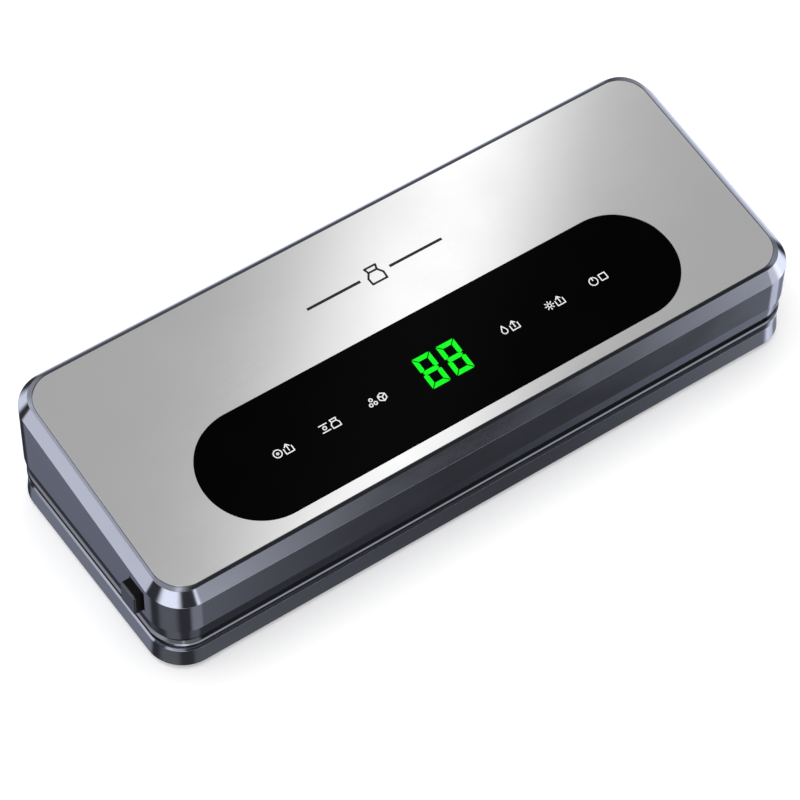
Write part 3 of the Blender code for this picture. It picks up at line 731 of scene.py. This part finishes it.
def make_top_plate(finishes):
    """The steel plate, with eased edges and the opening for the control glass."""
    inset, radius, ease = LIP_INSET + GAP, LIP_RADIUS - GAP, 0.22
    section = (
        (inset, on_slope(TOP_LEVEL - PLATE_THICKNESS), 0.0, radius),
        (inset, on_slope(TOP_LEVEL), ease, radius),
        (inset + 3.0, on_slope(TOP_LEVEL), 0.0, radius - 3.0),
    )
    made = swept("steel_plate", section, closed_ring=False)
    rows = []
    for place, outward in stadium_frames(GLASS_RADIUS + GAP):
        flare = place + outward * 0.5
        rows.append([(*place, -5.0), (*place, -0.12), (*flare, 0.38), (*flare, 2.0)])
    cut(made, onto_panel(object_from(skin(rows, False), "cutter")))
    finish_piece(made, finishes["plate_steel"], "lid", ["top_plate"])


def make_control_glass(finishes):
    """The black glass that covers the keys and the display, with a ground edge."""
    rows = []
    for place, outward in stadium_frames(GLASS_RADIUS):
        row = [(*place, -GLASS_THICKNESS)]
        for step in range(6):
            angle = math.pi / 2 * step / 5
            point = place - outward * (GLASS_EDGE_RADIUS * (1 - math.cos(angle)))
            row.append((*point, GLASS_PROUD - GLASS_EDGE_RADIUS * (1 - math.sin(angle))))
        rows.append(row)
    made = onto_panel(object_from(skin(rows, False), "panel_glass"))
    smooth(made, GLASS_CREASE)
    finish_piece(made, finishes["panel_glass"], "lid", ["control_glass"])


def make_base_shell(finishes):
    """The tray: drafted walls, an eased foot and a turned-in rim, with its screw and foot holes."""
    low, ledge = BASE_LOW.z, BASE_HIGH.z
    section = (
        (6.0, low, 0.0),
        (0.8, low, 0.5),
        (0.0, low + 0.9, 0.5),
        (1.0, ledge - 1.0, 0.2),
        (1.9, ledge, 0.2),
        (5.2, ledge, 0.0),
        (3.2, low + 2.0, 0.0),
        (6.0, low + 2.0, 0.0),
    )
    made = swept("base_tray", section, closed_ring=False)
    cutters = []
    for corner in ("front_left", "front_right", "rear_left", "rear_right"):
        screw_low, screw_high = box_mm(f"case_screw_{corner}")
        x, y = (screw_low.x + screw_high.x) / 2, (screw_low.y + screw_high.y) / 2
        cutters.append(upright_rod(x, y, *SCREW_WELL))
        foot_low, foot_high = box_mm(f"foot_{corner}")
        x, y = (foot_low.x + foot_high.x) / 2, (foot_low.y + foot_high.y) / 2
        cutters.append(upright_rod(x, y, *FOOT_HOLE))
    smooth(cut(made, *cutters), CREASE)
    finish_piece(made, finishes["gunmetal_shell"], "base", ["base_shell"])


def make_base_trim(finishes):
    """The rounded bead between the base and the lid, notched at its back for the hinges."""
    low, high = TRIM_LOW.z, TRIM_HIGH.z
    section = (
        (3.4, low, 0.0),
        (2.6, low, 0.3),
        (2.6, low + 2.0, 0.5),
        (0.7, low + 3.3, 0.4),
        (0.6, low + 3.8, 0.3),
        (1.0, low + 4.9, 0.5),
        (3.4, high, 0.4),
    )
    made = swept("base_bead", section, 6)
    smooth(cut(made, *hinge_notches(*BEAD_NOTCH)), BEAD_CREASE)
    finish_piece(made, finishes["dark_trim"], "base", ["base_trim"])


# ---------------------------------------------------------------- control panel marks


def prism(bm, points, low, high):
    """Add a flat shape with a thickness to a mesh."""
    bottom = [bm.verts.new(Vector((*p, low)) * MM) for p in points]
    top = [bm.verts.new(Vector((*p, high)) * MM) for p in points]
    bm.faces.new(list(reversed(bottom)))
    bm.faces.new(top)
    for i in range(len(points)):
        j = (i + 1) % len(points)
        bm.faces.new((bottom[i], bottom[j], top[j], top[i]))


def stroke(bm, path, width, low, high, closed=False):
    """Add a drawn line of a width: a prism for each straight stretch, run on a little at its ends."""
    following = path[1:] + path[:1] if closed else path[1:]
    for start, end in zip(path, following):
        start, end = Vector(start), Vector(end)
        along = (end - start).normalized()
        across = Vector((-along.y, along.x)) * width / 2
        reach = along * width * 0.3
        first, last = start - reach, end + reach
        outline = (first - across, last - across, last + across, first + across)
        prism(bm, [tuple(p) for p in outline], low, high)


def circle_path(x, y, radius, steps=20):
    """Points round a circle."""
    angles = [2 * math.pi * i / steps for i in range(steps)]
    return [(x + radius * math.cos(angle), y + radius * math.sin(angle)) for angle in angles]


def segment_shapes(width, height, thick, gap):
    """The seven bars of a digit, mitred where they meet, as outlines around the digit's centre."""
    w, h, t, g = width / 2, height / 2, thick, gap / 2
    top = [(-w + g, h), (w - g, h), (w - t - g, h - t), (-w + t + g, h - t)]
    bottom = [(x, -y) for x, y in reversed(top)]
    middle = [
        (-w + g + 0.15 * t, 0.0),
        (-w + 0.75 * t, t / 2),
        (w - 0.75 * t, t / 2),
        (w - g - 0.15 * t, 0.0),
        (w - 0.75 * t, -t / 2),
        (-w + 0.75 * t, -t / 2),
    ]
    right_top = [
        (w, h - g),
        (w - t, h - t - g),
        (w - t, t / 2 + 2 * g),
        (w - 0.5 * t, 2 * g),
        (w, 2 * g + 0.2 * t),
    ]
    left_top = [(-x, y) for x, y in reversed(right_top)]
    right_bottom = [(x, -y) for x, y in reversed(right_top)]
    left_bottom = [(-x, -y) for x, y in right_top]
    return [top, bottom, middle, right_top, left_top, right_bottom, left_bottom]


def make_digits():
    """Two lit digits of seven bars each, laid on the face of the glass."""
    low, high = GLASS_PROUD - PRINT_DEPTH, GLASS_PROUD + PRINT_DEPTH
    bm = bmesh.new()
    for u in (-DIGIT_OFFSET, DIGIT_OFFSET):
        for shape in segment_shapes(DIGIT_WIDTH, DIGIT_HEIGHT, DIGIT_BAR, DIGIT_GAP):
            prism(bm, [(DIGITS_U + u + x, KEY_V + y) for x, y in shape], low, high)
    made = onto_panel(object_from(bm, "display_digits"))
    finish_piece(made, lit_segment(), "lid")


def droplet(x, y, size):
    """Outline of a drop around a point."""
    radius, middle = 0.62 * size, y - 0.3 * size
    points = [(x, y + size)]
    for i in range(13):
        angle = math.radians(30 - 20 * i)
        points.append((x + radius * math.cos(angle), middle + radius * math.sin(angle)))
    return points


def suction_icon(x, y):
    """A bag's mouth with an arrow out of it."""
    return [
        ([(x - 2.2, y + 0.6), (x - 2.2, y - 2.4), (x + 2.2, y - 2.4), (x + 2.2, y + 0.6)], False),
        ([(x, y - 1.2), (x, y + 2.4)], False),
        ([(x - 1.3, y + 1.1), (x, y + 2.5), (x + 1.3, y + 1.1)], False),
    ]


def pouch_icon(x, y, size):
    """A pouch with a pinched neck, closed by a line across it."""
    half = [(0.7, 1.0), (0.52, 0.42), (0.95, -0.2), (0.9, -1.0)]
    right = [(x + size * across, y + size * up) for across, up in half]
    left = [(x - size * across, y + size * up) for across, up in reversed(half)]
    return [(right + left, True), ([left[-2], right[1]], False)]


def pictograms():
    """Line paths of the six key marks, each two small icons side by side."""
    left, right = -2.9, 2.9
    pulse = [(circle_path(left, 0.0, 0.5, 8), True), (circle_path(left, 0.0, 2.1), True)]
    bar = [([(left - 2.2, y), (left + 2.2, y)], False) for y in (-2.0, 2.0)]
    bar.append((circle_path(left, 0.0, 0.9, 12), True))
    centres = ((-1.3, -1.2), (1.3, -1.2), (0.0, 1.3))
    grain = [(circle_path(left + x, y, 0.85, 10), True) for x, y in centres]
    angles = [math.pi / 6 * turn for turn in range(1, 12, 2)]
    rim = [(right + 2.3 * math.cos(angle), 2.3 * math.sin(angle)) for angle in angles]
    solid = [(rim, True)] + [([(right, 0.0), rim[corner]], False) for corner in (0, 2, 4)]
    wet = [(droplet(left, 0.2, 2.4), True)]
    sun = [(circle_path(left, 0.0, 0.95, 12), True)]
    for turn in range(8):
        angle = math.pi / 4 * turn
        c, s = math.cos(angle), math.sin(angle)
        sun.append(([(left + 1.7 * c, 1.7 * s), (left + 2.4 * c, 2.4 * s)], False))
    ring = [(circle_path(left, 0.0, 2.2), True)]
    corners = ((-1.8, -1.8), (1.8, -1.8), (1.8, 1.8), (-1.8, 1.8))
    stop = [([(right + x, y) for x, y in corners], True)]
    start_stop = ring + [([(left, 0.6), (left, 2.4)], False)] + stop
    return [
        pulse + suction_icon(right, 0.0),
        bar + pouch_icon(right, 0.0, 2.4),
        grain + solid,
        wet + suction_icon(right, 0.0),
        sun + suction_icon(right, 0.0),
        start_stop,
    ]


def make_key_marks():
    """White pictograms printed over the six touch keys, in ink with a painted glow."""
    # The white ink has a painted glow: it shines of itself, as though lit from within
    ink = printed_ink("white_ink", (0.86, 0.86, 0.86), 0.25)
    low, high = GLASS_PROUD - PRINT_DEPTH, GLASS_PROUD + PRINT_DEPTH
    for number, (offset, paths) in enumerate(zip(KEY_OFFSETS, pictograms()), 1):
        bm = bmesh.new()
        for path, closed in paths:
            moved = [(GLASS_U + offset + x, KEY_V + y) for x, y in path]
            stroke(bm, moved, KEY_LINE_WIDTH, low, high, closed)
        made = onto_panel(object_from(bm, f"key_mark_{number}"))
        finish_piece(made, ink, "lid")


def make_plate_mark():
    """A generic printed mark on the plate: a pouch between two rules."""
    ink = printed_ink("black_ink", (0.012, 0.012, 0.013))
    v = PLATE_MARK_V
    rule_ends, rule_width, pouch_size, pouch_line = (39.0, 9.0), 1.5, 4.6, 1.1
    marks = [([(side * end, v) for end in rule_ends], False, rule_width) for side in (-1, 1)]
    marks += [(path, closed, pouch_line) for path, closed in pouch_icon(0.0, v, pouch_size)]
    bm = bmesh.new()
    for path, closed, width in marks:
        stroke(bm, [(BODY_X + x, y) for x, y in path], width, -PRINT_DEPTH, 0.03, closed)
    made = onto_panel(object_from(bm, "plate_mark"))
    finish_piece(made, ink, "lid")


# ---------------------------------------------------------------- latch button


def button_shell(name, profile):
    """A rounded block along X, through (x, depth under the button's sides) points."""
    rows = []
    half_y, half_z = BUTTON_LENGTH / 2, BUTTON_HEIGHT / 2
    centre = (BUTTON_Y, BUTTON_Z)
    for place, outward in outline_frames(half_y, half_z, BUTTON_CORNER_RADIUS, 8, centre):
        row = []
        for x, depth in profile:
            y, z = place - outward * depth
            row.append((x, y, z))
        rows.append(row)
    return smooth(object_from(skin(rows, False), name), CREASE)


def make_latch_button(finishes):
    """The side button: a black cap, a stepped dark metallic face plate, and the arm with its hook."""
    face, root = BUTTON_LOW.x, LID_LOW.x + 3.5
    step_depth, face_thickness, lower_step = 0.35, 0.45, 1.1
    cap = button_shell(
        "latch_cap",
        [
            (root, 0.0),
            (face + lower_step + 0.1, 0.0),
            (face + lower_step, 0.1),
            (face + lower_step, step_depth + 0.3),
        ],
    )
    finish_piece(cap, finishes["black_button"], "latch", ["latch_button"])
    cap.visible_glossy = False

    plate = [
        (face + lower_step + 0.3, step_depth),
        (face + lower_step - 0.35, step_depth),
        (face + lower_step - 0.45, step_depth + 0.3),
        (face + face_thickness, step_depth + 0.3),
        (face + face_thickness, 0.15),
        (face + face_thickness - 0.15, 0.0),
    ]
    for step in range(5):
        angle = math.pi / 2 * step / 4
        plate.append((face + 0.4 * (1 - math.sin(angle)), 0.4 * (1 - math.cos(angle))))
    plate_face = button_shell("latch_face", plate)
    finish_piece(plate_face, finishes["dark_trim"], "latch")
    plate_face.visible_glossy = False

    away_low = (face - 5.0, BUTTON_Y - 6.5, BUTTON_Z - 7.3)
    away_high = (LID_LOW.x + 3.1, BUTTON_Y + 6.5, BUTTON_Z + 7.3)
    arm = eased_copy("latch_button", "latch_arm", 0.3, block(away_low, away_high))
    finish_piece(arm, finishes["black_button"], "latch")


def make_latch_spring(finishes):
    """The button's return spring: a copy of its CAD node with a mesh of its own."""
    coil = eased_copy("latch_spring", "latch_coil", 0.0)
    finish_piece(coil, finishes["screw_steel"], "lid", ["latch_spring"])
    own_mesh(coil)


# ---------------------------------------------------------------- the other CAD nodes


def eased_copy(node, name, ease_mm, *cutters):
    """A copy of a CAD node, less any cutters, whose edges are rounded off by a small radius."""
    bm = bmesh.new()
    bm.from_mesh(frame["nodes"][node].data)
    bmesh.ops.remove_doubles(bm, verts=bm.verts, dist=0.002 * MM)
    bmesh.ops.dissolve_limit(bm, angle_limit=math.radians(0.5), verts=bm.verts, edges=bm.edges)
    made = cut(object_from(bm, name), *cutters)
    made.data.shade_smooth()
    made.data.set_sharp_from_angle(angle=math.radians(CREASE))
    if ease_mm > 0:
        bevel = made.modifiers.new("eased_edges", "BEVEL")
        bevel.width = ease_mm * MM
        bevel.segments = 3
        bevel.limit_method = "ANGLE"
        bevel.angle_limit = math.radians(CREASE)
        bevel.use_clamp_overlap = True
        bevel.miter_outer = "MITER_ARC"
    weighted = made.modifiers.new("flat_faces_stay_flat", "WEIGHTED_NORMAL")
    weighted.keep_sharp = True
    return made


def body_of_node(node):
    """The body that a CAD node rides on."""
    return body_of(frame["nodes"][node])[0]


# How far the edges of the nodes in a slot are rounded off
EASE = {
    "black_plastic": 0.3,
    "gasket_foam": 0.3,
    "silicone_strip": 0.3,
    "foot_rubber": 0.5,
    "screw_steel": 0.12,
    "grey_plastic": 0.35,
    "case_steel": 0.3,
    "display_green": 0.2,
    "board_green": 0.15,
}


def make_other_nodes(finishes, built):
    """Eased copies of the CAD nodes that have edges to ease, and a finish on each of the rest."""
    slots = {part["node"]: part["material_slot"] for part in frame["record"]["subparts"]}
    for node, obj in frame["nodes"].items():
        if node in built:
            continue
        slot = slots[node]
        if slot in EASE:
            made = eased_copy(node, f"{node}_eased", EASE[slot])
            finish_piece(made, finishes[slot], body_of_node(node), [node])
        else:
            obj.data.materials.clear()
            obj.data.materials.append(finishes[slot])


# ---------------------------------------------------------------- camera, light and floor


def make_camera():
    """A long-lens camera that looks down on the front left corner."""
    azimuth, elevation, roll = math.radians(-35.99), math.radians(52.49), math.radians(1.25)
    distance, foot, aim_height = 1706.01, 2.5, 30.0
    shift_right, shift_up = 5.12, 17.55
    back = Vector(
        (
            math.sin(azimuth) * math.cos(elevation),
            -math.cos(azimuth) * math.cos(elevation),
            math.sin(elevation),
        )
    )
    level_right = Vector((math.cos(azimuth), math.sin(azimuth), 0.0))
    level_up = back.cross(level_right)
    right = level_right * math.cos(roll) + level_up * math.sin(roll)
    up = back.cross(right)
    aim = Vector((BODY_X, 0.0, aim_height + foot))
    place = aim + back * distance - right * shift_right - up * shift_up
    turn = Matrix((right, up, back)).transposed().to_4x4()
    data = bpy.data.cameras.new("camera")
    data.sensor_width = 36.0
    data.lens = 157.94
    data.clip_end = 20.0
    camera = bpy.data.objects.new("camera", data)
    camera.matrix_world = Matrix.Translation(place * MM) @ turn
    bpy.context.scene.collection.objects.link(camera)
    bpy.context.scene.camera = camera


def make_floor_light():
    """A large soft light overhead, which the gloss doesn't mirror."""
    size, radiance, distance = 3.0, 1.2, 2.6
    facing = Vector((0.0, 0.05, 1.0)).normalized()
    side = Vector((0.0, 1.0, 0.0)).cross(facing).normalized()
    upright = facing.cross(side)
    data = bpy.data.lights.new("floor_fill", "AREA")
    data.shape = "RECTANGLE"
    data.size = data.size_y = size
    data.energy = radiance * 4.0 * size * size
    light = bpy.data.objects.new("floor_fill", data)
    turn = Matrix((side, upright, facing)).transposed().to_4x4()
    light.matrix_world = Matrix.Translation(Vector((0, 0, 0.04)) + facing * distance) @ turn
    light.visible_camera = False
    light.visible_glossy = False
    bpy.context.scene.collection.objects.link(light)


# Strip light overhead, which the plate mirrors: the normal of its plane, and the sines of the angles
# from that plane over which the light rises on one side and falls on the other
STRIP_PLANE = (0.721, -0.687, -0.092)
STRIP_LEFT = (-0.054, -0.004)
STRIP_RIGHT = (0.004, 0.037)
STRIP_BRIGHTNESS = 1.05

# The room round the panels: brightness low down and overhead
ROOM = 0.055
CEILING = 0.48

# Panels that the gloss mirrors: azimuth from +X, half width, lowest and highest elevation and softness
# of the edge, all in degrees, and brightness. The negative one is a flag that shades the ceiling.
# The gloss doesn't mirror the floor, so it shows the panels below the horizon as well.
PANELS = (
    (-142.0, 21.0, -12.0, 25.0, 9.0, 1.7),
    (155.0, 7.5, -8.0, 22.0, 3.0, 1.03),
    (140.0, 42.0, 26.0, 66.0, 10.0, 0.75),
    (20.0, 22.0, 10.0, 34.0, 8.0, 0.9),
    (-38.0, 26.0, 45.0, 82.0, 6.0, -0.44),
    (-85.0, 40.0, -25.0, -7.0, 5.0, 1.2),
    (-126.0, 14.0, -22.0, -3.0, 7.0, 1.6),
    (67.0, 15.0, 14.0, 30.0, 6.0, 0.5),
    (109.0, 20.0, -20.0, -1.0, 6.0, 1.3),
    (-17.0, 23.0, -21.0, 2.0, 7.0, 1.8),
    (-78.5, 5.5, -2.0, 14.0, 3.8, 0.8),
    (-80.5, 2.0, 2.0, 16.0, 2.0, 0.8),
    (-44.0, 18.0, -2.0, 14.0, 5.0, 1.12),
    (-25.5, 14.0, -58.0, -38.0, 7.0, 0.9),
    (-36.0, 13.0, -44.0, -28.0, 10.0, 0.85),
    (-3.0, 13.0, -66.0, -57.0, 4.0, 1.0),
    (10.0, 24.0, -57.0, -36.0, 8.0, 0.33),
    (47.0, 19.0, -52.0, -31.0, 9.0, 1.05),
    (-77.5, 16.0, -70.0, -48.0, 8.0, 0.30),
    (128.0, 12.0, -60.0, -40.0, 11.0, 0.31),
    (-160.0, 24.0, -85.0, -40.0, 12.0, 0.14),
)


def panel(graph, heading, height, azimuth, half_width, lowest, highest, soft, brightness):
    """Brightness of one soft-edged panel in the direction that is looked at."""

    def level(degrees):
        return math.sin(math.radians(max(-90.0, min(90.0, degrees))))

    middle = (math.cos(math.radians(azimuth)), math.sin(math.radians(azimuth)), 0.0)
    across = graph.add("ShaderNodeVectorMath", {0: heading, 1: middle}, operation="DOT_PRODUCT")
    outer = math.cos(math.radians(half_width + soft))
    inner = math.cos(math.radians(max(0.0, half_width - soft)))
    sideways = graph.between(across.outputs["Value"], 0.0, brightness, outer, inner, "SMOOTHSTEP")
    over = graph.between(height, 0.0, 1.0, level(lowest - soft), level(lowest + soft), "SMOOTHSTEP")
    under = graph.between(height, 1.0, 0.0, level(highest - soft), level(highest + soft), "SMOOTHSTEP")
    return graph.calculate("MULTIPLY", sideways, graph.calculate("MULTIPLY", over, under))


def make_world():
    """A pale backdrop to the camera, and to the object a dim studio with a bright ceiling and panels."""
    world = bpy.data.worlds.new("studio")
    world.use_nodes = True
    graph = Graph(world.node_tree)
    graph.tree.nodes.clear()
    direction = graph.add("ShaderNodeTexCoord").outputs["Generated"]
    height = graph.add("ShaderNodeSeparateXYZ", {"Vector": direction}).outputs["Z"]
    flat = graph.add(
        "ShaderNodeVectorMath", {0: direction, 1: (1.0, 1.0, 0.0)}, operation="MULTIPLY"
    ).outputs[0]
    heading = graph.add("ShaderNodeVectorMath", {0: flat}, operation="NORMALIZE").outputs[0]

    ceiling = graph.between(height, ROOM, CEILING, 0.5, 0.82, "SMOOTHSTEP")
    off_strip = graph.add(
        "ShaderNodeVectorMath", {0: direction, 1: STRIP_PLANE}, operation="DOT_PRODUCT"
    ).outputs["Value"]
    rising = graph.between(off_strip, 0.0, STRIP_BRIGHTNESS, *STRIP_LEFT, "SMOOTHSTEP")
    falling = graph.between(off_strip, 1.0, 0.0, *STRIP_RIGHT, "SMOOTHSTEP")
    overhead = graph.between(height, 0.0, 1.0, 0.6, 0.8, "SMOOTHSTEP")
    strip = graph.calculate("MULTIPLY", graph.calculate("MULTIPLY", rising, falling), overhead)
    total = graph.calculate("ADD", ceiling, strip)
    for shape in PANELS:
        total = graph.calculate("ADD", total, panel(graph, heading, height, *shape))

    white = (1.0, 1.0, 1.0, 1.0)
    studio = graph.add("ShaderNodeBackground", {"Color": white, "Strength": total})
    backdrop = graph.add("ShaderNodeBackground", {"Color": white, "Strength": 1.0})
    seen = graph.add("ShaderNodeLightPath").outputs["Is Camera Ray"]
    chosen = graph.add(
        "ShaderNodeMixShader",
        {0: seen, 1: studio.outputs["Background"], 2: backdrop.outputs["Background"]},
    )
    graph.add("ShaderNodeOutputWorld", {"Surface": chosen.outputs["Shader"]})
    bpy.context.scene.world = world


def make_floor():
    """A plain pale floor, wide enough for every view, which the gloss doesn't mirror."""
    bm = bmesh.new()
    bmesh.ops.create_grid(bm, x_segments=1, y_segments=1, size=4.0)
    made = object_from(bm, "floor")
    finish = Finish("floor_paper", roughness=0.9)
    paper = finish.noise(2.0, 4.0)
    finish.colour(finish.blend(paper, (0.90, 0.90, 0.90), (0.93, 0.93, 0.93)))
    finish.set(Specular_IOR_Level=0.0, Emission_Color=(1.0, 1.0, 1.0, 1.0), Emission_Strength=0.35)
    made.data.materials.append(finish.material)
    made.visible_glossy = False


# ---------------------------------------------------------------- all of it


def main():
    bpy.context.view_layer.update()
    bpy.context.scene.view_settings.view_transform = "Standard"
    make_camera()
    make_world()
    make_floor_light()
    make_floor()
    finishes = make_finishes()
    make_lid_frame(finishes)
    make_top_plate(finishes)
    make_control_glass(finishes)
    make_base_shell(finishes)
    make_base_trim(finishes)
    make_digits()
    make_key_marks()
    make_plate_mark()
    make_latch_button(finishes)
    make_latch_spring(finishes)
    built = {"lid_frame", "top_plate", "control_glass", "base_shell", "base_trim"}
    built |= {"latch_button", "latch_spring"}
    make_other_nodes(finishes, built)


main()
